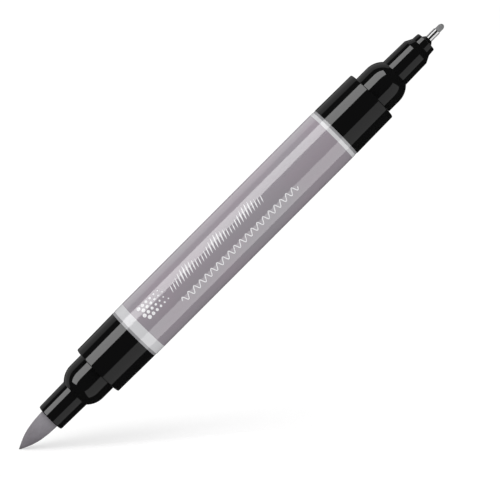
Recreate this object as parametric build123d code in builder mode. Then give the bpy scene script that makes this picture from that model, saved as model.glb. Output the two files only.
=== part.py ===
from build123d import *
import os

# Dual-tip felt marker, both caps off, lying along X.
# The brush nib points to -X and the fine nib to +X.
# The origin is the centre of the barrel, on the pen's axis. Millimetres.

# ---- driving dimensions ----
barrel_diameter = 13.0
barrel_length = 61.7
barrel_wall = 1.1
cap_seat_diameter = 10.0
cap_seat_length = 3.35
shoulder_length = 11.0          # flush black length between barrel and cap seat
neck_diameter = 7.0             # where it leaves the dome
reservoir_diameter = 8.64
reservoir_length = 66.0
brush_nib_diameter = 4.66
brush_nib_length = 38.0
fine_nib_diameter = 1.38
fine_nib_length = 35.7
sliding_clearance = 0.03        # radial gap wherever one piece slides in another

# ---- radii ----
barrel_radius = barrel_diameter / 2
bore_radius = barrel_radius - barrel_wall
cap_seat_radius = cap_seat_diameter / 2
neck_radius = neck_diameter / 2
reservoir_radius = reservoir_diameter / 2
brush_nib_radius = brush_nib_diameter / 2
fine_nib_radius = fine_nib_diameter / 2

# ---- stations along the axis, as distances from the barrel's centre ----
barrel_end = barrel_length / 2
step_x = barrel_end + shoulder_length
dome_start = step_x + cap_seat_length
dome_foot = dome_start + (cap_seat_radius**2 - neck_radius**2) ** 0.5
dome_foot_round = 0.2           # hollow fillet where the dome meets the neck
brush_mouth = step_x + 14.5
cone_start = step_x + 13.3
cone_end = cone_start + 1.55
collar_end = cone_end + 1.7
nipple_end = collar_end + 0.75
sleeve_end = nipple_end + 2.55
fine_tip = sleeve_end + 1.9
brush_tip = brush_mouth + 9.45
reservoir_end = reservoir_length / 2

# ---- barrel and printed film ----
film_thickness = 0.10
film_start = -27.9              # the bare ring is wider at the brush end
film_end = 29.4
rim_length = 0.6                # each end of the tube steps down to a thinner rim
rim_radius = 6.42
rim_round = 0.05
bore_lead_in = 0.3
barrel_rib_count = 6
barrel_rib_width = 0.8
barrel_rib_length = 41.0

# ---- front sections ----
brush_shoulder_radius = 6.44    # where the shoulder meets the barrel
fine_shoulder_radius = 6.49
shoulder_taper = 0.14           # loss of radius along the shoulder
shoulder_round = 0.28
neck_end_radius = 3.36
mouth_round = 0.32
plug_length = 10.0
plug_gap = 0.15                 # between plug and bore; only the seal beads touch
plug_radius = bore_radius - plug_gap
plug_lead_in = 0.4
plug_end = barrel_end - plug_length
seal_bead_radius = 0.45
seal_bead_insets = (2.4, 6.4)   # seal beads' distances from the barrel's end
chamber_radius = reservoir_radius + 0.08
chamber_end = step_x - 2.0
stop_rib_count = 4
stop_rib_width = 0.9
stop_rib_inner_radius = 3.0

# ---- brush end ----
brush_passage_radius = 2.5
grip_rib_count = 6
grip_rib_width = 0.6
grip_rib_start = brush_mouth - 12.0
grip_rib_end = brush_mouth - 1.2
funnel_length = 2.9
ogive_length = 11.0
ogive_full_length = 4.2         # from the tip back to the curve's full-radius control point
ogive_slope_length = 2.4        # from the tip back to the control point that sets its slope
ogive_slope_radius = 1.0
brush_point_radius = 0.08
nib_pocket_gap = 0.05

# ---- fine end ----
cone_end_radius = 2.57
collar_radius = 2.56
collar_front_radius = 2.42
collar_round = 0.25
nipple_root_radius = 1.52
nipple_front_radius = 0.92
shank_radius = 2.0
shank_end = cone_end - 10.5
shank_chamfer = 0.35
vent_count = 3
vent_width = 0.5
vent_depth = 0.3
partition_start = shank_end - 3.5
partition_bore_radius = 0.95
sleeve_radius = 0.84
sleeve_back = cone_end - 6.0
sleeve_bore_radius = fine_nib_radius + 0.015
sleeve_crimp = 0.06
nib_bore_radius = fine_nib_radius + 0.045
fine_dome_length = 0.85
fine_pocket_radius = fine_nib_radius + 0.06

# ---- reservoir ----
wrap_thickness = 0.12
wrap_end_inset = 0.5
wrap_seam_width = 0.35
wrap_seam_cut = 4 * wrap_thickness

rib_bite = 0.2                  # how far each rib's root runs into its wall
overcut = 1.0                   # how far a cut starts outside the material


def band(start, end, inner_radius, outer_radius):
    """Half section of a straight ring about the X axis, for a revolve."""
    with BuildSketch(Plane.XZ) as section:
        with Locations(((start + end) / 2, (inner_radius + outer_radius) / 2)):
            Rectangle(abs(end - start), outer_radius - inner_radius)
    return section.sketch


def outline(*points):
    """Half section drawn by straight lines through (x, radius) points, for a revolve."""
    with BuildSketch(Plane.XZ) as section:
        with BuildLine():
            Polyline(*points, close=True)
        make_face()
    return section.sketch


def ribs(count, width, inner_radius, outer_radius, start, end):
    """Straight ribs parallel to the X axis, evenly spaced around it."""
    height = outer_radius - inner_radius
    with BuildPart() as rib_ring:
        with BuildSketch(Plane.YZ.offset(start)):
            with PolarLocations((inner_radius + outer_radius) / 2, count):
                Rectangle(height, width)
        extrude(amount=end - start)
    return rib_ring.part


def section_outside(shoulder_radius, *neck_end):
    """Stepped outside of a front section that points to +X, down to the axis. The cap seat ends in
    a dome of its own radius."""
    with BuildSketch(Plane.XZ) as section:
        with BuildLine():
            Polyline(
                (barrel_end, 0),
                (barrel_end, shoulder_radius),
                (step_x, shoulder_radius - shoulder_taper),
                (step_x, cap_seat_radius),
                (dome_start, cap_seat_radius),
            )
            TangentArc((dome_start, cap_seat_radius), (dome_foot, neck_radius), tangent=(1, 0))
            Polyline((dome_foot, neck_radius), *neck_end, (barrel_end, 0))
        make_face()
        shoulder_edge = section.vertices().group_by(Axis.Y)[-2]
        fillet(shoulder_edge, shoulder_round)
        foot_zone = (dome_foot - dome_foot_round, dome_foot + dome_foot_round)
        fillet(section.vertices().filter_by_position(Axis.X, *foot_zone), dome_foot_round)
    return section.sketch


def plug_outside():
    """Plug that fills the barrel's end, with two raised seal beads."""
    with BuildSketch(Plane.XZ) as section:
        with BuildLine():
            Polyline(
                (barrel_end, 0),
                (barrel_end, plug_radius),
                (plug_end + plug_lead_in, plug_radius),
                (plug_end, plug_radius - plug_lead_in),
                (plug_end, 0),
                close=True,
            )
        make_face()
        bead_centre = bore_radius - sliding_clearance - seal_bead_radius
        with Locations(*[(barrel_end - inset, bead_centre) for inset in seal_bead_insets]):
            Circle(seal_bead_radius)
    return section.sketch


def ogive_outline(tip_x, gap=0.0):
    """Half section of a brush point whose tip lies at tip_x and faces +X."""
    base_x = tip_x - ogive_length
    with BuildSketch(Plane.XZ) as section:
        with BuildLine():
            Bezier(
                (base_x, brush_nib_radius + gap),
                (tip_x - ogive_full_length, brush_nib_radius + gap),
                (tip_x - ogive_slope_length, ogive_slope_radius + gap),
                (tip_x + gap, brush_point_radius + gap),
            )
            Line((tip_x + gap, brush_point_radius + gap), (tip_x + gap, 0))
            Line((tip_x + gap, 0), (base_x, 0))
            Line((base_x, 0), (base_x, brush_nib_radius + gap))
        make_face()
    return section.sketch


# ---- barrel tube: clear-ended shell with a recess for the film and inner ribs ----
with BuildPart() as barrel_tube:
    rim_start = barrel_end - rim_length
    revolve(band(-barrel_end, barrel_end, bore_radius, rim_radius), axis=Axis.X)
    revolve(band(-rim_start, rim_start, bore_radius, barrel_radius), axis=Axis.X)
    ring_edges = barrel_tube.edges().filter_by(GeomType.CIRCLE)
    fillet(ring_edges.group_by(SortBy.RADIUS)[-1], rim_round)
    chamfer(ring_edges.group_by(SortBy.RADIUS)[0], bore_lead_in)
    recess_floor = barrel_radius - film_thickness
    revolve(
        band(film_start, film_end, recess_floor, barrel_radius + film_thickness),
        axis=Axis.X,
        mode=Mode.SUBTRACT,
    )
    add(ribs(barrel_rib_count, barrel_rib_width, chamber_radius, bore_radius + rib_bite,
             -barrel_rib_length / 2, barrel_rib_length / 2))
barrel_tube.part.label = "barrel_tube"

# ---- printed film: ink-coloured sleeve that fills the barrel's recess ----
with BuildPart() as colour_film:
    revolve(band(film_start, film_end, recess_floor, barrel_radius), axis=Axis.X)
colour_film.part.label = "colour_film"

# ---- brush section: black stepped front that holds the brush nib ----
# It is drawn pointing to +X and mirrored to the brush end last.
with BuildPart() as brush_section:
    revolve(
        section_outside(
            brush_shoulder_radius,
            (brush_mouth, neck_end_radius),
            (brush_mouth, 0),
        ),
        axis=Axis.X,
    )
    mouth_edges = brush_section.edges().filter_by(GeomType.CIRCLE).group_by(Axis.X)[-1]
    fillet(mouth_edges, mouth_round)
    revolve(plug_outside(), axis=Axis.X)
    brush_cavity = outline(
        (plug_end - overcut, 0),
        (plug_end - overcut, chamber_radius),
        (chamber_end, chamber_radius),
        (chamber_end + funnel_length, brush_passage_radius),
        (brush_mouth + overcut, brush_passage_radius),
        (brush_mouth + overcut, 0),
    )
    revolve(brush_cavity, axis=Axis.X, mode=Mode.SUBTRACT)
    add(ribs(grip_rib_count, grip_rib_width, brush_nib_radius + sliding_clearance,
             brush_passage_radius + rib_bite, grip_rib_start, grip_rib_end))
    add(ribs(stop_rib_count, stop_rib_width, stop_rib_inner_radius, chamber_radius + rib_bite,
             reservoir_end, chamber_end))
    mirror(about=Plane.YZ, mode=Mode.REPLACE)
brush_section.part.label = "brush_section"

# ---- fine section: black stepped front with a cone that seats the fine nib's holder ----
with BuildPart() as fine_section:
    revolve(
        section_outside(
            fine_shoulder_radius,
            (cone_start, neck_end_radius),
            (cone_end, cone_end_radius),
            (cone_end, 0),
        ),
        axis=Axis.X,
    )
    revolve(plug_outside(), axis=Axis.X)
    fine_cavity = outline(
        (plug_end - overcut, 0),
        (plug_end - overcut, chamber_radius),
        (chamber_end, chamber_radius),
        (partition_start, partition_bore_radius),
        (shank_end, partition_bore_radius),
        (shank_end, shank_radius + sliding_clearance),
        (cone_end + overcut, shank_radius + sliding_clearance),
        (cone_end + overcut, 0),
    )
    revolve(fine_cavity, axis=Axis.X, mode=Mode.SUBTRACT)
    add(ribs(stop_rib_count, stop_rib_width, stop_rib_inner_radius, chamber_radius + rib_bite,
             reservoir_end, chamber_end))
fine_section.part.label = "fine_section"

# ---- brush nib: fibre rod pointed at both ends, so that it can be turned round ----
inner_tip = brush_tip - brush_nib_length
with BuildPart() as brush_nib:
    revolve(band(inner_tip + ogive_length, brush_tip - ogive_length, 0, brush_nib_radius), axis=Axis.X)
    revolve(ogive_outline(brush_tip), axis=Axis.X)
    revolve(
        ogive_outline(brush_tip).mirror(Plane.YZ.offset((brush_tip + inner_tip) / 2)),
        axis=Axis.X,
    )
    mirror(about=Plane.YZ, mode=Mode.REPLACE)
brush_nib.part.label = "brush_nib"

# ---- fine nib holder: black insert with a collar, a nipple and a vented shank ----
with BuildPart() as fine_nib_holder:
    holder_outside = outline(
        (shank_end, 0),
        (shank_end, shank_radius - shank_chamfer),
        (shank_end + shank_chamfer, shank_radius),
        (cone_end, shank_radius),
        (cone_end, collar_radius),
        (collar_end, collar_front_radius),
        (collar_end, nipple_root_radius),
        (nipple_end, nipple_front_radius),
        (nipple_end, 0),
    )
    revolve(holder_outside, axis=Axis.X)
    front_edges = fine_nib_holder.edges().filter_by_position(Axis.X, collar_end, collar_end)
    fillet(front_edges.filter_by(GeomType.CIRCLE).group_by(SortBy.RADIUS)[-1], collar_round)
    revolve(band(shank_end, sleeve_back, 0, nib_bore_radius), axis=Axis.X, mode=Mode.SUBTRACT)
    revolve(band(sleeve_back, nipple_end, 0, sleeve_radius), axis=Axis.X, mode=Mode.SUBTRACT)
    add(
        ribs(vent_count, vent_width, shank_radius - vent_depth, shank_radius + rib_bite,
             shank_end, cone_end),
        mode=Mode.SUBTRACT,
    )
fine_nib_holder.part.label = "fine_nib_holder"

# ---- metal sleeve: thin tube crimped round the fine nib ----
with BuildPart() as fine_nib_sleeve:
    revolve(band(sleeve_back, sleeve_end, sleeve_bore_radius, sleeve_radius), axis=Axis.X)
    sleeve_mouth = fine_nib_sleeve.edges().filter_by(GeomType.CIRCLE).group_by(Axis.X)[-1]
    fillet(sleeve_mouth.sort_by(SortBy.RADIUS)[-1], sleeve_crimp)
fine_nib_sleeve.part.label = "fine_nib_sleeve"

# ---- fine nib: fibre rod with a rounded tip, long enough to reach the reservoir ----
with BuildPart() as fine_nib:
    with BuildSketch(Plane.XZ) as fine_nib_section:
        with BuildLine():
            shoulder = fine_tip - fine_dome_length
            Polyline(
                (shoulder, fine_nib_radius),
                (fine_tip - fine_nib_length, fine_nib_radius),
                (fine_tip - fine_nib_length, 0),
                (fine_tip, 0),
            )
            EllipticalCenterArc((shoulder, 0), fine_dome_length, fine_nib_radius, arc_size=90)
        make_face()
    revolve(axis=Axis.X)
fine_nib.part.label = "fine_nib"

# ---- reservoir core: absorbent fibre rod with a pocket for each nib ----
core_radius = reservoir_radius - wrap_thickness
with BuildPart() as reservoir_core:
    revolve(band(-reservoir_end, reservoir_end, 0, core_radius), axis=Axis.X)
    inner_point = ogive_outline(brush_tip, nib_pocket_gap)
    inner_point = inner_point.mirror(Plane.YZ.offset((brush_tip + inner_tip) / 2))
    revolve(inner_point.mirror(Plane.YZ), axis=Axis.X, mode=Mode.SUBTRACT)
    fine_pocket_end = fine_tip - fine_nib_length - nib_pocket_gap
    revolve(
        band(fine_pocket_end, reservoir_end, 0, fine_pocket_radius),
        axis=Axis.X,
        mode=Mode.SUBTRACT,
    )
reservoir_core.part.label = "reservoir_core"

# ---- reservoir wrap: film round the core, open along one seam ----
with BuildPart() as reservoir_wrap:
    wrap_end = reservoir_end - wrap_end_inset
    revolve(band(-wrap_end, wrap_end, core_radius, reservoir_radius), axis=Axis.X)
    with Locations((0, 0, core_radius)):
        Box(reservoir_length, wrap_seam_width, wrap_seam_cut, mode=Mode.SUBTRACT)
reservoir_wrap.part.label = "reservoir_wrap"

os.makedirs("parts", exist_ok=True)
pieces = [
    barrel_tube,
    colour_film,
    brush_section,
    fine_section,
    brush_nib,
    fine_nib_holder,
    fine_nib_sleeve,
    fine_nib,
    reservoir_core,
    reservoir_wrap,
]
for piece in pieces:
    export_step(piece.part, f"parts/{piece.part.label}.step")
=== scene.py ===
import math

import bmesh
import bpy
from mathutils import Matrix, Vector
from mathutils.geometry import interpolate_bezier
from mathutils.noise import noise


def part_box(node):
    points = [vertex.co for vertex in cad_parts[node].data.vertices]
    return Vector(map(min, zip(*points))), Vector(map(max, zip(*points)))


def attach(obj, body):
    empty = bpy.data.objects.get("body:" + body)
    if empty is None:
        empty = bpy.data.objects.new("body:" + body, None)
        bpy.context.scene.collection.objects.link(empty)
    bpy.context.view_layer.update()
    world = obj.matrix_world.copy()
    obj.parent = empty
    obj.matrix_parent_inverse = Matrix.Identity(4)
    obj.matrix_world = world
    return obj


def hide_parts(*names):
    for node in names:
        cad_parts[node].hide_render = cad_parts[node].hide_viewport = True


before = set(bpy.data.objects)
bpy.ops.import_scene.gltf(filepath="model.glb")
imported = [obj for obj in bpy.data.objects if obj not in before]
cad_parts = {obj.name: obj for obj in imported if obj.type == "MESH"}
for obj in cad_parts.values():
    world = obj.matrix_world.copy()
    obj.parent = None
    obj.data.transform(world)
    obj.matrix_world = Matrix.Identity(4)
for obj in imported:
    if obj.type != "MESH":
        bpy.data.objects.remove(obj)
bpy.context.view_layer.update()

MM = 0.001

# ---- the frame's own sizes, in metres: the pen lies along X, its printed side faces -Y ----
barrel_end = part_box("barrel_tube")[1].x
film_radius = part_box("colour_film")[1].z
brush_low, brush_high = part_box("brush_nib")
fine_low, fine_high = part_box("fine_nib")
core_low, core_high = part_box("reservoir_core")

TOWARDS_CAMERA = Vector((0, -1, 0))
ALONG_PEN = Vector((1, 0, 0))


# ======================= meshes =======================

SHARP_ANGLE = math.radians(40)


def mesh_piece(name, build, body, material):
    """One new object whose mesh is filled in by the build function."""
    skin = bmesh.new()
    build(skin)
    bmesh.ops.recalc_face_normals(skin, faces=skin.faces)
    mesh = bpy.data.meshes.new(name)
    skin.to_mesh(mesh)
    skin.free()
    mesh.shade_smooth()
    mesh.set_sharp_from_angle(angle=SHARP_ANGLE)
    mesh.materials.append(material)
    piece = bpy.data.objects.new(name, mesh)
    bpy.context.scene.collection.objects.link(piece)
    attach(piece, body)
    return piece


def lathe(skin, profile, segments, texture):
    """Closed skin of revolution through (x, radius) points, from one point on the axis to another.
    The texture function moves each point of it a little."""
    rings = []
    for x, radius in profile:
        if radius == 0:
            rings.append([skin.verts.new((x, 0, 0))])
            continue
        ring = []
        for step in range(segments):
            angle = 2 * math.pi * step / segments
            spot_x, spot_radius = texture(x, radius, angle)
            ring.append(skin.verts.new((
                spot_x,
                -spot_radius * math.cos(angle),
                spot_radius * math.sin(angle),
            )))
        rings.append(ring)
    for first, second in zip(rings, rings[1:]):
        for step in range(segments):
            corners = [
                first[step % len(first)],
                first[(step + 1) % len(first)],
                second[(step + 1) % len(second)],
                second[step % len(second)],
            ]
            skin.faces.new(list(dict.fromkeys(corners)))


def straight(start, end, spacing):
    """Points from start to end, no further apart than the spacing, both ends left out."""
    start, end = Vector(start), Vector(end)
    count = math.ceil((end - start).length / spacing)
    return [tuple(start.lerp(end, step / count)) for step in range(1, count)]


# ---- threads: the relief of bonded fibres that run along the pen ----
THREAD_LENGTH = 40                     # a thread's length, in pitches
FINER_SHARE = 0.6                      # the weight of the finer threads laid over the coarse ones
FINER_SCALE = 2.3
FINER_SHIFT = Vector((7, 3, 5))        # keeps the finer threads from lining up with the coarse ones
GRAIN_PEAK = 1 + FINER_SHARE
THREAD_SETBACK = 0.8                   # keeps most of the relief below a nib's outline


def fibre_grain(x, around, pitch, radius):
    """Noise of about -GRAIN_PEAK to GRAIN_PEAK that runs in long threads parallel to the pen."""
    across = radius / pitch
    thread = Vector((x / (THREAD_LENGTH * pitch), math.cos(around) * across, math.sin(around) * across))
    return noise(thread) + FINER_SHARE * noise(thread * FINER_SCALE + FINER_SHIFT)


def nib_texture(pitch, relief, thin):
    """Texture of threads for a nib, smoother where its radius is less than thin."""

    def texture(x, radius, around):
        depth = relief * min(1, radius / thin)
        return x, radius + depth * (fibre_grain(x, around, pitch, radius) - THREAD_SETBACK)

    return texture


# ---- brush nib: a fibre rod with a long rounded point at each end ----
POINT_LENGTH = 11.0 * MM               # from the tip back to the even rod
POINT_FULL = 4.4 * MM                  # from the tip back to the control point at the full radius
POINT_SLOPE = (2.8 * MM, 1.5 * MM)     # the control point that sets the tip's slope
POINT_RADIUS = 0.08 * MM
POINT_STEPS = 72
NIB_SPACING = 0.4 * MM
BRUSH_SEGMENTS = 264


def brush_point(radius, extra=0.0):
    """The point's outline from its tip back to the full radius, as (distance, radius) pairs."""
    controls = (
        (0, POINT_RADIUS + extra, 0),
        (POINT_SLOPE[0], POINT_SLOPE[1] + extra, 0),
        (POINT_FULL, radius + extra, 0),
        (POINT_LENGTH, radius + extra, 0),
    )
    curve = interpolate_bezier(*[Vector(control) for control in controls], POINT_STEPS)
    return [(point.x, point.y) for point in curve]


def build_brush_nib(skin):
    radius = brush_high.z
    point = brush_point(radius)
    outer = [(brush_low.x + back, size) for back, size in point]
    inner = [(brush_high.x - back, size) for back, size in reversed(point)]
    rod = straight(outer[-1], inner[0], NIB_SPACING)
    profile = [(brush_low.x, 0), *outer, *rod, *inner, (brush_high.x, 0)]
    texture = nib_texture(pitch=0.16 * MM, relief=0.018 * MM, thin=0.8 * MM)
    lathe(skin, profile, BRUSH_SEGMENTS, texture)


# ---- fine nib: a thin fibre rod with a rounded writing tip ----
FINE_DOME = 0.85 * MM
FINE_ROOT = 0.9                        # the hidden end's radius, as a share of the rod's
DOME_STEPS = 24
FINE_SEGMENTS = 132


def build_fine_nib(skin):
    radius = fine_high.z
    dome = []
    for step in range(1, DOME_STEPS):
        turn = math.pi / 2 * step / DOME_STEPS
        dome.append((fine_high.x - FINE_DOME * (1 - math.sin(turn)), radius * math.cos(turn)))
    dome_start = fine_high.x - FINE_DOME
    rod = straight((fine_low.x, radius), (dome_start, radius), NIB_SPACING)
    profile = [
        (fine_low.x, 0),
        (fine_low.x, radius * FINE_ROOT),
        *rod,
        (dome_start, radius),
        *dome,
        (fine_high.x, 0),
    ]
    texture = nib_texture(pitch=0.07 * MM, relief=0.008 * MM, thin=0.4 * MM)
    lathe(skin, profile, FINE_SEGMENTS, texture)


# ---- reservoir core: a soft fibre rod, its cut ends a little ragged ----
POCKET_GAP = 0.05 * MM                 # between a nib and its pocket in the core
FINE_POCKET = 0.75 * MM                # the fine nib's pocket, as a radius
CORE_PITCH = 0.22 * MM
CORE_RELIEF = 0.035 * MM
RAGGED_DEPTH = 0.05 * MM               # of the fibre ends on the two cut faces
RAGGED_PITCH = 0.12 * MM
FACE_SPACING = 0.25 * MM
SIDE_SPACING = 0.5 * MM
CORE_SEGMENTS = 240


def core_texture(x, radius, around):
    """Threads on the outside, ragged fibre ends on the cut faces, smooth pockets."""
    on_side = radius > 0.99 * core_high.z
    on_face = core_high.x - abs(x) < RAGGED_DEPTH
    if on_side:
        threads = fibre_grain(x, around, CORE_PITCH, radius)
        return x, radius - CORE_RELIEF * (1 - threads / GRAIN_PEAK)
    if on_face:
        spot = Vector((radius * math.cos(around), radius * math.sin(around), x))
        return x - math.copysign(RAGGED_DEPTH * (1 + noise(spot / RAGGED_PITCH)), x), radius
    return x, radius


def build_core(skin):
    pocket = []
    for back, size in brush_point(brush_high.z, POCKET_GAP):
        if brush_high.x - back + POCKET_GAP > core_low.x:
            pocket.append((brush_high.x - back + POCKET_GAP, size))
    brush_mouth = (core_low.x, pocket[-1][1])
    brush_rim = (core_low.x, core_high.z)
    fine_rim = (core_high.x, core_high.z)
    fine_mouth = (core_high.x, FINE_POCKET)
    pocket_end = fine_low.x - POCKET_GAP
    profile = [
        (pocket[0][0], 0),
        *pocket,
        *straight(brush_mouth, brush_rim, FACE_SPACING),
        brush_rim,
        *straight(brush_rim, fine_rim, SIDE_SPACING),
        fine_rim,
        *straight(fine_rim, fine_mouth, FACE_SPACING),
        fine_mouth,
        (pocket_end, FINE_POCKET),
        (pocket_end, 0),
    ]
    lathe(skin, profile, CORE_SEGMENTS, core_texture)


# ---- print: raised strokes of white ink on the film ----
# A stroke's section, as (share of its half-width, height above the film).
INK_SECTION = (
    (-1.0, -0.012 * MM),
    (-0.8, 0.012 * MM),
    (0.0, 0.018 * MM),
    (0.8, 0.012 * MM),
    (1.0, -0.012 * MM),
)


def on_barrel(spot, height):
    """The point of the barrel at (x, arc), arc being measured from the -Y side towards +Z."""
    radius = film_radius + height
    angle = spot.y / film_radius
    return (spot.x, -radius * math.cos(angle), radius * math.sin(angle))


def ink_stroke(skin, spine, half_widths):
    """Adds one closed stroke of ink along a spine of (x, arc) points."""
    rings = []
    for index, spot in enumerate(spine):
        before = spine[max(index - 1, 0)]
        after = spine[min(index + 1, len(spine) - 1)]
        along = (after - before).normalized()
        across = Vector((-along.y, along.x))
        ring = []
        for share, height in INK_SECTION:
            ring.append(skin.verts.new(on_barrel(spot + across * half_widths[index] * share, height)))
        rings.append(ring)
    for first, second in zip(rings, rings[1:]):
        for side in range(len(INK_SECTION)):
            skin.faces.new((first[side], first[side - 1], second[side - 1], second[side]))
    skin.faces.new(rings[0])
    skin.faces.new(rings[-1])


def brush_stroke(skin, start, end, thickness):
    """A straight stroke that swells in the middle and tapers at both ends."""
    count = 20
    tip_share = 0.15
    spine = []
    half_widths = []
    for step in range(count + 1):
        swell = math.sin(math.pi * step / count)
        spine.append(start.lerp(end, step / count))
        half_widths.append(thickness / 2 * (tip_share + (1 - tip_share) * swell))
    ink_stroke(skin, spine, half_widths)


def ink_dot(skin, centre, radius):
    """Adds one closed round dot of ink at an (x, arc) point."""
    count = 24
    rings = []
    for share, height in INK_SECTION[:2]:
        ring = []
        for step in range(count):
            turn = 2 * math.pi * step / count
            spot = centre + Vector((math.cos(turn), math.sin(turn))) * radius * share
            ring.append(skin.verts.new(on_barrel(spot, height)))
        rings.append(ring)
    foot, rim = rings
    top = skin.verts.new(on_barrel(centre, INK_SECTION[2][1]))
    for step in range(count):
        skin.faces.new((foot[step], foot[step - 1], rim[step - 1], rim[step]))
        skin.faces.new((rim[step], rim[step - 1], top))
    skin.faces.new(foot)


def build_dots(skin):
    """A block of dots that shrink along the pen, every other row shifted by half a pitch."""
    corner = Vector((-26.0, 3.2)) * MM
    columns, rows = 6, 4
    pitch = 1.12 * MM
    row_pitch = 0.9 * pitch
    largest, smallest = 0.48 * MM, 0.18 * MM
    for column in range(columns):
        radius = largest + (smallest - largest) * column / (columns - 1)
        for row in range(rows):
            offset = pitch / 2 if row % 2 else 0
            ink_dot(skin, corner + Vector((column * pitch + offset, -row * row_pitch)), radius)


def build_hatching(skin):
    """A row of slanted strokes that grow and shrink, as the brush nib would draw them."""
    start, end, pitch = -18.2 * MM, 9.0 * MM, 0.85 * MM
    foot_line = 0.3 * MM
    short, tall = 1.7 * MM, 2.9 * MM
    thin, thick = 0.26 * MM, 0.42 * MM
    lean = 0.33                             # sideways shift as a share of the height
    swells = 3
    count = round((end - start) / pitch)
    for step in range(count + 1):
        swell = 0.5 - 0.5 * math.cos(2 * math.pi * swells * step / count)
        height = short + (tall - short) * swell
        foot = Vector((start + pitch * step, foot_line))
        brush_stroke(skin, foot, foot + Vector((lean * height, height)), thin + (thick - thin) * swell)


def build_wave(skin):
    """A thin wavy line, as the fine nib would draw it."""
    start, end, middle = -18.1 * MM, 16.6 * MM, -2.45 * MM
    waves, height, lean = 20, 1.35 * MM, 0.06 * MM
    half_width = 0.12 * MM
    count = 24 * waves
    spine = []
    for step in range(count + 1):
        share = step / count
        swing = math.sin(2 * math.pi * waves * share)
        spine.append(Vector((start + (end - start) * share + lean * swing, middle + height / 2 * swing)))
    ink_stroke(skin, spine, [half_width] * (count + 1))


# ======================= materials =======================

BLACK_FACE = (0.0043, 0.0043, 0.0044)
BLACK_RUBBED = (0.016, 0.016, 0.017)
FILM_PINK = (0.300, 0.262, 0.296)
FILM_GREY = (0.288, 0.268, 0.294)
FILM_SPECK = (0.34, 0.32, 0.34)
TUBE_PALE = (0.64, 0.64, 0.655)
TUBE_DEEP = (0.58, 0.58, 0.59)
TUBE_RIM = (0.235, 0.235, 0.245)
PRINT_THIN = (0.74, 0.73, 0.75)
PRINT_FULL = (0.88, 0.88, 0.89)
STEEL_BRIGHT = (0.86, 0.86, 0.86)
STEEL_DULL = (0.72, 0.72, 0.73)
BRUSH_DARK = (0.158, 0.145, 0.162)
BRUSH_LIGHT = (0.218, 0.203, 0.224)
BRUSH_DRY = (0.315, 0.303, 0.328)
BRUSH_WET = (0.05, 0.05, 0.05)
FINE_DARK = (0.155, 0.155, 0.158)
FINE_LIGHT = (0.255, 0.255, 0.258)
FINE_WET = (0.06, 0.06, 0.06)
CORE_DARK = (0.14, 0.12, 0.145)
CORE_LIGHT = (0.30, 0.27, 0.31)
WRAP_CLEAR = (0.72, 0.72, 0.74)
WRAP_STAINED = (0.50, 0.46, 0.51)
RIM_LENGTH = 0.6 * MM                  # how far the plugs darken each end of the tube


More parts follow.
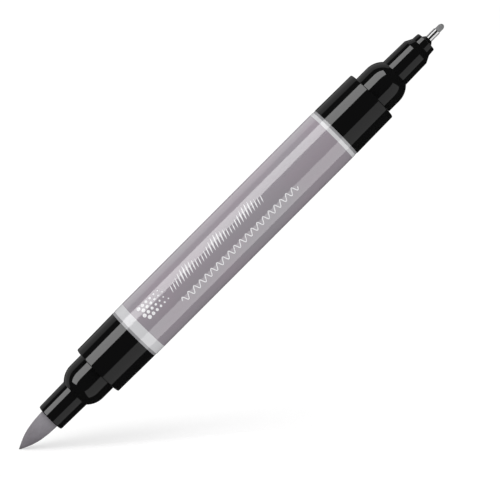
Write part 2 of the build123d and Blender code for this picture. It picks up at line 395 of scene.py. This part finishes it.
class Look:
    """A procedural material; its calls add nodes and return sockets. Lengths are in metres."""

    def __init__(self, name):
        self.material = bpy.data.materials.new(name)
        self.material.use_nodes = True
        self.tree = self.material.node_tree
        self.shader = self.tree.nodes["Principled BSDF"]
        self.place = self.node("ShaderNodeTexCoord").outputs["Object"]

    def node(self, kind, **settings):
        """A new node of the given kind."""
        made = self.tree.nodes.new(kind)
        for key, value in settings.items():
            setattr(made, key, value)
        return made

    def fill(self, socket, value):
        """Links a socket to an input, or sets the input to a plain value."""
        if isinstance(value, bpy.types.NodeSocket):
            self.tree.links.new(value, socket)
        else:
            socket.default_value = value

    def set(self, **values):
        """Fills inputs of the surface shader; their names have _ in place of spaces."""
        for key, value in values.items():
            self.fill(self.shader.inputs[key.replace("_", " ")], value)

    def noise(self, size, stretch=(1, 1, 1), detail=2.0, seed=0.0):
        """Noise of 0 to 1 with lumps of the given size, longer where stretch is above 1."""
        mapping = self.node("ShaderNodeMapping")
        self.fill(mapping.inputs["Vector"], self.place)
        mapping.inputs["Scale"].default_value = [1 / (size * factor) for factor in stretch]
        mapping.inputs["Location"].default_value = (seed, seed * 1.7, seed * 2.3)
        grain = self.node("ShaderNodeTexNoise")
        grain.inputs["Scale"].default_value = 1
        grain.inputs["Detail"].default_value = detail
        self.fill(grain.inputs["Vector"], mapping.outputs["Vector"])
        return grain.outputs["Fac"]

    def remap(self, value, low, high, to_low, to_high):
        """The value's range low to high stretched to the range to_low to to_high, and clamped to it."""
        made = self.node("ShaderNodeMapRange")
        made.inputs["From Min"].default_value = low
        made.inputs["From Max"].default_value = high
        made.inputs["To Min"].default_value = to_low
        made.inputs["To Max"].default_value = to_high
        self.fill(made.inputs["Value"], value)
        return made.outputs["Result"]

    def combine(self, operation, first, second):
        made = self.node("ShaderNodeMath", operation=operation)
        self.fill(made.inputs[0], first)
        self.fill(made.inputs[1], second)
        return made.outputs["Value"]

    def mix(self, factor, first, second):
        """A blend of two colours, each of them a socket or an (r, g, b)."""
        made = self.node("ShaderNodeMix", data_type="RGBA")
        self.fill(made.inputs["Factor"], factor)
        for name, colour in (("A", first), ("B", second)):
            plain = not isinstance(colour, bpy.types.NodeSocket)
            self.fill(made.inputs[name], (*colour, 1) if plain else colour)
        return made.outputs["Result"]

    def axis(self, name):
        """One coordinate of the shaded point, in its object's own axes."""
        made = self.node("ShaderNodeSeparateXYZ")
        self.fill(made.inputs[0], self.place)
        return made.outputs[name]

    def bump(self, height, depth, under=None):
        """Relief of the given depth from a height of 0 to 1."""
        made = self.node("ShaderNodeBump")
        made.inputs["Strength"].default_value = 1
        made.inputs["Distance"].default_value = depth
        self.fill(made.inputs["Height"], height)
        if under:
            self.fill(made.inputs["Normal"], under)
        return made.outputs["Normal"]

    def edges(self, reach):
        """1 along outer edges within the reach, fading to 0."""
        made = self.node("ShaderNodeBevel", samples=4)
        made.inputs["Radius"].default_value = reach
        flat = self.node("ShaderNodeNewGeometry").outputs["Normal"]
        dot = self.node("ShaderNodeVectorMath", operation="DOT_PRODUCT")
        self.fill(dot.inputs[0], made.outputs["Normal"])
        self.fill(dot.inputs[1], flat)
        return self.remap(dot.outputs["Value"], 0.98, 0.80, 0, 1)


def black_plastic():
    """Glossy black moulding: faint waviness, fine grain, finger smudges and rubbed edges."""
    look = Look("black_plastic")
    smudges = look.remap(look.noise(6 * MM, detail=4, seed=3), 0.5, 0.75, 0.0, 1.0)
    rubbed = look.combine("MULTIPLY", look.edges(0.12 * MM), look.noise(0.8 * MM, seed=9))
    rough = look.combine("ADD", look.remap(smudges, 0, 1, 0.05, 0.09), look.remap(rubbed, 0, 1, 0, 0.25))
    waves = look.bump(look.noise(5 * MM, stretch=(2, 1, 1), detail=0, seed=1), 0.010 * MM)
    grain = look.bump(look.noise(0.12 * MM, detail=2, seed=2), 0.0006 * MM, waves)
    look.set(
        Base_Color=look.mix(rubbed, BLACK_FACE, BLACK_RUBBED),
        Roughness=rough,
        IOR=1.5,
        Normal=grain,
    )
    return look.material


def ink_film():
    """Glossy printed film in the ink's colour: slow colour drift, fine print grain, faint draw lines."""
    look = Look("ink_film")
    drift = look.remap(look.noise(5 * MM, stretch=(2.5, 1, 1), detail=3, seed=4), 0.35, 0.65, 0, 1)
    speck = look.remap(look.noise(0.18 * MM, detail=2, seed=6), 0.3, 0.7, 0, 0.22)
    tint = look.mix(drift, FILM_PINK, FILM_GREY)
    lines = look.noise(0.25 * MM, stretch=(60, 1, 1), detail=2, seed=8)
    waves = look.bump(look.noise(7 * MM, stretch=(2, 1, 1), detail=0, seed=11), 0.012 * MM)
    look.set(
        Base_Color=look.mix(speck, tint, FILM_SPECK),
        Roughness=look.remap(look.noise(4 * MM, detail=4, seed=5), 0.4, 0.8, 0.05, 0.09),
        IOR=1.64,
        Normal=look.bump(lines, 0.0008 * MM, waves),
    )
    return look.material


def milky_tube():
    """Pale translucent moulding; the black plug shows through its thin rims."""
    look = Look("milky_tube")
    position = look.combine("ABSOLUTE", look.axis("X"), 0.0)
    rim_edge = barrel_end - RIM_LENGTH
    rim = look.remap(position, rim_edge - 0.05 * MM, rim_edge + 0.08 * MM, 0, 1)
    cloud = look.remap(look.noise(3 * MM, detail=3, seed=12), 0.3, 0.7, 0, 0.35)
    pale = look.mix(cloud, TUBE_PALE, TUBE_DEEP)
    look.set(
        Base_Color=look.mix(look.combine("MULTIPLY", rim, 0.85), pale, TUBE_RIM),
        Roughness=look.remap(look.noise(4 * MM, detail=4, seed=13), 0.4, 0.8, 0.05, 0.10),
        IOR=1.56,
        Normal=look.bump(look.noise(0.15 * MM, detail=2, seed=14), 0.0006 * MM),
    )
    return look.material


def white_ink():
    """Opaque white print with slightly uneven cover."""
    look = Look("white_ink")
    cover = look.remap(look.noise(0.25 * MM, detail=3, seed=15), 0.35, 0.6, 0, 1)
    look.set(
        Base_Color=look.mix(cover, PRINT_THIN, PRINT_FULL),
        Roughness=look.remap(cover, 0, 1, 0.5, 0.3),
        IOR=1.45,
        Normal=look.bump(cover, 0.001 * MM),
    )
    return look.material


def drawn_steel():
    """Polished steel tube with fine lines from drawing and rings from crimping."""
    look = Look("drawn_steel")
    draw_lines = look.noise(0.05 * MM, stretch=(50, 1, 1), detail=2, seed=16)
    rings = look.noise(0.09 * MM, stretch=(1, 60, 60), detail=1, seed=17)
    lined = look.bump(draw_lines, 0.0012 * MM)
    look.set(
        Base_Color=look.mix(draw_lines, STEEL_BRIGHT, STEEL_DULL),
        Metallic=1.0,
        Roughness=look.remap(rings, 0.3, 0.7, 0.14, 0.24),
        Normal=look.bump(rings, 0.0006 * MM, lined),
    )
    return look.material


def fibre(name, dark, light, thread, seed):
    """Bonded fibres along the pen, soaked with ink: dark gaps between lighter threads."""
    look = Look(name)
    threads = look.noise(thread, stretch=(30, 1, 1), detail=3, seed=seed)
    patches = look.noise(1.3 * MM, stretch=(1.6, 1, 1), detail=2, seed=seed + 1)
    thread_share = look.remap(threads, 0.3, 0.7, 0, 0.6)
    share = look.combine("ADD", thread_share, look.remap(patches, 0.35, 0.65, 0, 0.4))
    colour = look.mix(share, dark, light)
    look.set(
        Base_Color=colour,
        Roughness=look.remap(threads, 0.3, 0.7, 0.95, 0.7),
        IOR=1.4,
        Sheen_Weight=0.04,
        Sheen_Roughness=0.4,
        Normal=look.bump(threads, 0.02 * MM),
    )
    return look, colour


def brush_fibre():
    """Brush nib: the ink gathers at the point, and the rod is paler towards its root."""
    look, colour = fibre("brush_fibre", BRUSH_DARK, BRUSH_LIGHT, 0.06 * MM, 20)
    depth = look.combine("SUBTRACT", look.axis("X"), brush_low.x)
    wet = look.remap(depth, 0, 1.2 * MM, 0.75, 0)
    dry = look.remap(depth, 4 * MM, 9 * MM, 0, 0.55)
    look.set(Base_Color=look.mix(wet, look.mix(dry, colour, BRUSH_DRY), BRUSH_WET))
    return look.material


def fine_fibre():
    """Fine nib: grey fibre, darker where the ink gathers at the writing tip."""
    look, colour = fibre("fine_fibre", FINE_DARK, FINE_LIGHT, 0.04 * MM, 24)
    depth = look.combine("SUBTRACT", fine_high.x, look.axis("X"))
    wet = look.remap(depth, 0, 0.5 * MM, 0.8, 0)
    look.set(Base_Color=look.mix(wet, colour, FINE_WET))
    return look.material


def core_fibre():
    """Reservoir core: coarser fibre, soaked with ink all through."""
    look, _ = fibre("core_fibre", CORE_DARK, CORE_LIGHT, 0.08 * MM, 30)
    return look.material


def wrap_film():
    """Thin milky film with faint creases along the reservoir."""
    look = Look("wrap_film")
    creases = look.noise(0.5 * MM, stretch=(14, 1, 1), detail=3, seed=40)
    stain = look.remap(look.noise(4 * MM, stretch=(2, 1, 1), detail=3, seed=41), 0.4, 0.7, 0, 0.7)
    look.set(
        Base_Color=look.mix(stain, WRAP_CLEAR, WRAP_STAINED),
        Roughness=look.remap(creases, 0.3, 0.7, 0.25, 0.45),
        IOR=1.5,
        Normal=look.bump(creases, 0.02 * MM),
    )
    return look.material


# ======================= pieces =======================

def dress(node, material):
    """Gives a CAD node its material."""
    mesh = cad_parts[node].data
    mesh.materials.clear()
    mesh.materials.append(material)


def make_pieces():
    """Dresses the CAD nodes, replaces the fibre ones with meshes of their own and adds the print."""
    gloss_black = black_plastic()
    for node in ("brush_section", "fine_section", "fine_nib_holder"):
        dress(node, gloss_black)
    dress("colour_film", ink_film())
    dress("barrel_tube", milky_tube())
    dress("fine_nib_sleeve", drawn_steel())
    dress("reservoir_wrap", wrap_film())

    nib = mesh_piece("brush_nib_fibre", build_brush_nib, "brush_tip", brush_fibre())
    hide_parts("brush_nib")
    fine = mesh_piece("fine_nib_fibre", build_fine_nib, "fine_tip", fine_fibre())
    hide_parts("fine_nib")
    core = mesh_piece("reservoir_fibre", build_core, "barrel", core_fibre())
    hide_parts("reservoir_core")

    ink = white_ink()
    for name, build in (
        ("print_dots", build_dots),
        ("print_hatching", build_hatching),
        ("print_wave", build_wave),
    ):
        mesh_piece(name, build, "barrel", ink)


# ======================= camera, floor and light =======================

PEN_RISE = math.radians(45.04)         # the pen's slope in the picture
CAMERA_DISTANCE = 0.636
VIEW_WIDTH = 107.8 * MM                # the picture's width at the pen
AIM = Vector((1.51, 0, -3.11)) * MM    # the point of the pen's own frame in the picture's middle
CAMERA_HEIGHT = math.radians(11)       # the camera's elevation above the floor

FLOOR_RISE = math.radians(4.7)         # the floor's rise to the right in the picture
FLOOR_WHITE = 0.62
FLOOR_GLOW = 0.23
FLOOR_OVEREXPOSURE = 0.205             # more glow, for the camera alone
FLOOR_LEFT_FADE = (-3 * MM, 0)         # where the floor goes from clear to full, along its own X
FLOOR_FRONT_FADE = (-10 * MM, -1 * MM)  # the same along its own Y

# The world's brightness as the camera, matt surfaces and reflections see it.
BACKDROP = 1.09
FILL = 0.93
MIRROR = 0.01

# Where the strip lights stand: angles in degrees about X, from the camera's side towards +Z.
UPPER_FRONT = (32, 68.7)
LOWER_FRONT = (-84.6, -32.8)
UPPER_BACK = (96.5, 148)
LOWER_BACK = (-170, -100)
BEHIND = (165, 195)

# How far out the strips stand. Strips at the same angles for different pieces mustn't coincide,
# because a reflected ray that meets two lights in one place sees only one of them.
COMMON_STRIPS = 0.60
BARREL_STRIPS = 0.62
STEEL_STRIPS = 0.64
OVERHEAD_SIZE = 0.34


def picture_axes():
    """The picture's right and up directions, in the pen's frame."""
    across = Vector((0, 0, 1))
    right = math.cos(PEN_RISE) * ALONG_PEN - math.sin(PEN_RISE) * across
    up = math.sin(PEN_RISE) * ALONG_PEN + math.cos(PEN_RISE) * across
    return right, up


def floor_axes():
    """The floor's normal and its direction to the right in the picture."""
    right, up = picture_axes()
    level = math.cos(FLOOR_RISE) * right + math.sin(FLOOR_RISE) * up
    rising = math.cos(FLOOR_RISE) * up - math.sin(FLOOR_RISE) * right
    return math.cos(CAMERA_HEIGHT) * rising + math.sin(CAMERA_HEIGHT) * TOWARDS_CAMERA, level


def make_camera():
    data = bpy.data.cameras.new("camera")
    data.sensor_width = 36
    data.lens = data.sensor_width * CAMERA_DISTANCE / VIEW_WIDTH
    data.clip_start = 0.01
    camera = bpy.data.objects.new("camera", data)
    bpy.context.scene.collection.objects.link(camera)
    right, up = picture_axes()
    turn = Matrix((right, up, TOWARDS_CAMERA)).transposed()
    camera.matrix_world = Matrix.Translation(AIM + TOWARDS_CAMERA * CAMERA_DISTANCE) @ turn.to_4x4()
    bpy.context.scene.camera = camera


def link_light(light, only=(), never=()):
    """Keeps a light to some objects, or away from some."""
    state = "INCLUDE" if only else "EXCLUDE"
    targets = only or never
    if not targets:
        return
    receivers = bpy.data.collections.new(light.name + "_receivers")
    for target in targets:
        receivers.objects.link(target)
    for entry in receivers.collection_objects:
        entry.light_linking.link_state = state
    light.light_linking.receiver_collection = receivers


def strip_light(name, span, radiance, distance=COMMON_STRIPS, spread=1.83, only=(), never=()):
    """A long soft box parallel to the pen that spans the given pair of angles and is spread times
    its distance long. It shows in reflections only."""
    low, high = span
    length = spread * distance
    middle = math.radians((low + high) / 2)
    half = math.radians((high - low) / 2)
    width = 2 * distance * math.tan(half)
    data = bpy.data.lights.new(name, "AREA")
    data.shape = "RECTANGLE"
    data.size = length
    data.size_y = width
    data.energy = radiance * math.pi * length * width
    light = bpy.data.objects.new(name, data)
    outward = Vector((0, -math.cos(middle), math.sin(middle)))
    turn = Matrix((ALONG_PEN, outward.cross(ALONG_PEN), outward)).transposed()
    light.matrix_world = Matrix.Translation(outward * distance) @ turn.to_4x4()
    light.visible_camera = False
    light.visible_diffuse = False
    bpy.context.scene.collection.objects.link(light)
    link_light(light, only, never)


def overhead_light(name, radiance, distance, only=(), never=()):
    """Soft round light above the floor. It doesn't show in reflections."""
    normal, _ = floor_axes()
    area = math.pi * OVERHEAD_SIZE ** 2 / 4
    data = bpy.data.lights.new(name, "AREA")
    data.shape = "DISK"
    data.size = OVERHEAD_SIZE
    data.energy = radiance * math.pi * area
    light = bpy.data.objects.new(name, data)
    turn = normal.to_track_quat("Z", "Y").to_matrix().to_4x4()
    light.matrix_world = Matrix.Translation(normal * distance) @ turn
    light.visible_camera = False
    light.visible_glossy = False
    bpy.context.scene.collection.objects.link(light)
    link_light(light, only, never)


def make_world():
    """White behind the pen, an even fill for matt surfaces, almost dark for reflections."""
    world = bpy.data.worlds.new("studio")
    world.use_nodes = True
    bpy.context.scene.world = world
    nodes = world.node_tree.nodes
    links = world.node_tree.links
    nodes.clear()
    path = nodes.new("ShaderNodeLightPath")
    glossy = nodes.new("ShaderNodeMix")
    glossy.data_type = "RGBA"
    glossy.inputs["A"].default_value = (FILL, FILL, FILL, 1)
    glossy.inputs["B"].default_value = (MIRROR, MIRROR, MIRROR, 1)
    seen = nodes.new("ShaderNodeMix")
    seen.data_type = "RGBA"
    seen.inputs["B"].default_value = (BACKDROP, BACKDROP, BACKDROP, 1)
    background = nodes.new("ShaderNodeBackground")
    output = nodes.new("ShaderNodeOutputWorld")
    links.new(path.outputs["Is Glossy Ray"], glossy.inputs["Factor"])
    links.new(path.outputs["Is Camera Ray"], seen.inputs["Factor"])
    links.new(glossy.outputs["Result"], seen.inputs["A"])
    links.new(seen.outputs["Result"], background.inputs["Color"])
    links.new(background.outputs["Background"], output.inputs["Surface"])


def floor_material():
    """White floor that glows a little, which keeps the shadow faint; the camera sees a stronger glow,
    as in an overexposed picture. It is clear from below, and it fades out in front of the brush tip
    and to its left, where the parts pulled out of that end pass through it."""
    look = Look("floor")
    camera_ray = look.node("ShaderNodeLightPath").outputs["Is Camera Ray"]
    from_below = look.node("ShaderNodeNewGeometry").outputs["Backfacing"]
    cover = look.combine(
        "MULTIPLY",
        look.remap(look.axis("X"), *FLOOR_LEFT_FADE, 0, 1),
        look.remap(look.axis("Y"), *FLOOR_FRONT_FADE, 0, 1),
    )
    look.set(
        Base_Color=(FLOOR_WHITE, FLOOR_WHITE, FLOOR_WHITE, 1),
        Roughness=1.0,
        Specular_IOR_Level=0.0,
        Emission_Color=(1, 1, 1, 1),
        Emission_Strength=look.remap(camera_ray, 0, 1, FLOOR_GLOW, FLOOR_GLOW + FLOOR_OVEREXPOSURE),
        Alpha=look.combine("MULTIPLY", cover, look.remap(from_below, 0, 1, 1, 0)),
    )
    return look.material


def make_floor():
    """The floor that the pen's brush tip touches. Its own X runs to the right in the picture, and its
    own Y away from the camera."""
    normal, level = floor_axes()
    half = 3.0                          # far enough for its edges to stay out of the picture
    corners = [(-half, -half, 0), (half, -half, 0), (half, half, 0), (-half, half, 0)]
    mesh = bpy.data.meshes.new("floor")
    mesh.from_pydata(corners, [], [(0, 1, 2, 3)])
    mesh.materials.append(floor_material())
    floor = bpy.data.objects.new("floor", mesh)
    turn = Matrix((level, normal.cross(level), normal)).transposed()
    floor.matrix_world = Matrix.Translation((brush_low.x, 0, 0)) @ turn.to_4x4()
    bpy.context.scene.collection.objects.link(floor)
    floor.visible_glossy = False


def make_lights():
    """Strips for the reflections in the black pieces, the barrel and the steel, and light from above."""
    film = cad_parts["colour_film"]
    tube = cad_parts["barrel_tube"]
    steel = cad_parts["fine_nib_sleeve"]
    strip_light("bright_strip", UPPER_FRONT, 4.4, spread=2.1, never=(steel,))
    strip_light("dim_strip", LOWER_FRONT, 0.65, never=(film, tube, steel))
    strip_light("edge_strip", UPPER_BACK, 0.38, spread=4.4, never=(film,))
    strip_light("barrel_dim", LOWER_FRONT, 2.2, BARREL_STRIPS, only=(film, tube))
    strip_light("film_edge", UPPER_BACK, 0.9, BARREL_STRIPS, spread=2.67, only=(film,))
    strip_light("steel_bright", UPPER_FRONT, 1.3, STEEL_STRIPS, only=(steel,))
    strip_light("steel_dim", LOWER_FRONT, 0.95, STEEL_STRIPS, only=(steel,))
    strip_light("steel_low_edge", LOWER_BACK, 0.4, STEEL_STRIPS, only=(steel,))
    strip_light("back_strip", BEHIND, 1.0, spread=4.0)
    overhead_light("key", 1.4, 0.50, never=(film,))
    overhead_light("film_key", 4.2, 0.52, only=(film,))


bpy.context.scene.view_settings.view_transform = "Standard"
make_pieces()
make_world()
make_camera()
make_floor()
make_lights()
